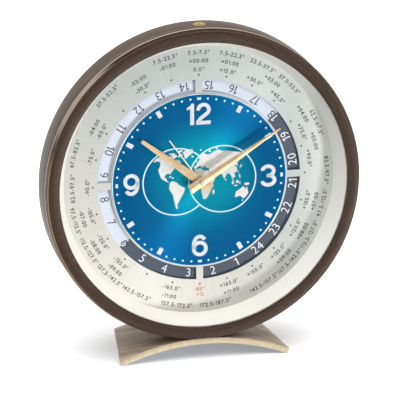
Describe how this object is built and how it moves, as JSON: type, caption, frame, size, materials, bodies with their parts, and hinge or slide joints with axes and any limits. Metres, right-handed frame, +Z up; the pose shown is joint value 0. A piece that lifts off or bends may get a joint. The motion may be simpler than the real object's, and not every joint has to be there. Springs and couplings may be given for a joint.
{
  "type": "world time clock",
  "caption": "Round wooden table clock on an arched brass base, with hour, minute and alarm hands and a turning 24-hour ring seen through windows in the dial.",
  "frame": {"origin": "on the surface that the clock stands on, below the middle of its width and depth", "axes": "+Z up, -Y out of the dial towards the viewer, +X to the viewer's right"},
  "size_m": [0.184, 0.0648, 0.196],
  "materials": {
    "case_wood": "dark stained wood, satin, fine grain running round the ring",
    "crystal_glass": "clear flat glass",
    "surround_cream": "satin cream paint",
    "silver_dial": "pale silver, satin",
    "blue_dial": "royal blue with a sunray sheen, paler at the centre",
    "applied_markers": "off-white gloss",
    "black_plastic": "moulded, matt",
    "ring_print": "half slate blue, half pale grey print",
    "wheel_brass": "brushed brass",
    "steel": "bright drawn steel",
    "gilt_hands": "pale gold, satin",
    "white_hand": "white paint",
    "knob_plastic": "black, ribbed",
    "ivory_plastic": "ivory moulding",
    "copper_wire": "enamelled copper winding",
    "circuit_board": "green board",
    "board_parts": "small electrical parts",
    "polished_brass": "polished brass",
    "cover_plastic": "dark brown moulding, fine texture",
    "cell_wrap": "plain two-tone wrapper",
    "base_brass": "aged brass, brushed top, bright edges"
  },
  "bodies": {
    "case": {"case_ring": "case_wood", "crystal": "crystal_glass", "dial_surround": "surround_cream", "city_dial": "silver_dial", "centre_dial": "blue_dial", "hour_markers": "applied_markers", "dial_frame": "black_plastic", "idler_post": "steel", "motion_post": "steel", "front_plate": "wheel_brass", "rear_plate": "wheel_brass", "plate_pillars": "wheel_brass", "pillar_screws": "steel", "plate_screws": "steel", "drive_unit": "ivory_plastic", "drive_coil": "copper_wire", "alarm_buzzer": "black_plastic", "circuit_board": "circuit_board", "board_parts": "board_parts", "alarm_switch": "black_plastic", "button_ferrule": "polished_brass", "button_spring": "steel", "rear_cover": "cover_plastic", "cover_screws": "polished_brass", "battery_box": "black_plastic", "battery_cell": "cell_wrap", "battery_contacts": "steel", "base_plate": "base_brass", "base_screws": "polished_brass"},
    "hour": {"hour_hand": "gilt_hands", "hour_tube": "wheel_brass", "world_drive_wheel": "wheel_brass", "hour_wheel": "wheel_brass"},
    "minute": {"minute_hand": "gilt_hands", "centre_arbor": "steel", "cannon_pinion": "wheel_brass", "centre_wheel": "wheel_brass", "set_knob": "knob_plastic"},
    "motion_wheel": {"minute_wheel": "wheel_brass"},
    "idler": {"idler_gear": "wheel_brass"},
    "world_dial": {"world_ring": "ring_print", "world_gear": "wheel_brass"},
    "drive": {"drive_pinion": "wheel_brass"},
    "alarm": {"alarm_hand": "white_hand", "alarm_tube": "wheel_brass", "alarm_wheel": "wheel_brass"},
    "alarm_setting": {"alarm_pinion": "wheel_brass", "alarm_arbor": "steel", "alarm_knob": "knob_plastic"},
    "stop_button": {"stop_button": "polished_brass", "stop_rod": "steel"},
    "battery_door": {"battery_door": "cover_plastic"}
  },
  "joints": [
    {"name": "minute_turn", "type": "hinge", "parent": "case", "child": "minute", "pos_m": [0, -0.01344, 0.10324], "axis": [0, 0.9984, -0.057], "continuous": true},
    {"name": "hour_turn", "type": "hinge", "parent": "case", "child": "hour", "pos_m": [0, -0.01344, 0.10324], "axis": [0, 0.9984, -0.057], "continuous": true},
    {"name": "motion_turn", "type": "hinge", "parent": "case", "child": "motion_wheel", "pos_m": [0.018, -0.01344, 0.10324], "axis": [0, 0.9984, -0.057], "continuous": true},
    {"name": "idler_turn", "type": "hinge", "parent": "case", "child": "idler", "pos_m": [0, -0.01159, 0.13559], "axis": [0, 0.9984, -0.057], "continuous": true},
    {"name": "world_turn", "type": "hinge", "parent": "case", "child": "world_dial", "pos_m": [0, -0.01344, 0.10324], "axis": [0, 0.9984, -0.057], "continuous": true},
    {"name": "drive_turn", "type": "hinge", "parent": "case", "child": "drive", "pos_m": [0.012, -0.01225, 0.12399], "axis": [0, 0.9984, -0.057], "continuous": true},
    {"name": "alarm_turn", "type": "hinge", "parent": "case", "child": "alarm", "pos_m": [0, -0.01344, 0.10324], "axis": [0, 0.9984, -0.057], "continuous": true},
    {"name": "alarm_set_turn", "type": "hinge", "parent": "case", "child": "alarm_setting", "pos_m": [-0.02425, -0.01424, 0.08927], "axis": [0, 0.9984, -0.057], "continuous": true},
    {"name": "button_press", "type": "slide", "parent": "case", "child": "stop_button", "axis": [0, -0.057, -0.9984], "range_m": [0, 0.0012], "stiffness_N_per_m": 500, "springref_m": -0.0006, "deforming": ["button_spring"]},
    {"name": "door_slide", "type": "slide", "parent": "case", "child": "battery_door", "axis": [1, 0, 0], "range_m": [0, 0.02]}
  ],
  "couplings": [
    {"joint": "hour_turn", "follows": "minute_turn", "ratio": 0.083333},
    {"joint": "motion_turn", "follows": "minute_turn", "ratio": -0.33333},
    {"joint": "idler_turn", "follows": "minute_turn", "ratio": -0.16667},
    {"joint": "world_turn", "follows": "minute_turn", "ratio": -0.041667},
    {"joint": "drive_turn", "follows": "minute_turn", "ratio": -2},
    {"joint": "alarm_set_turn", "follows": "alarm_turn", "ratio": -2.5}
  ]
}
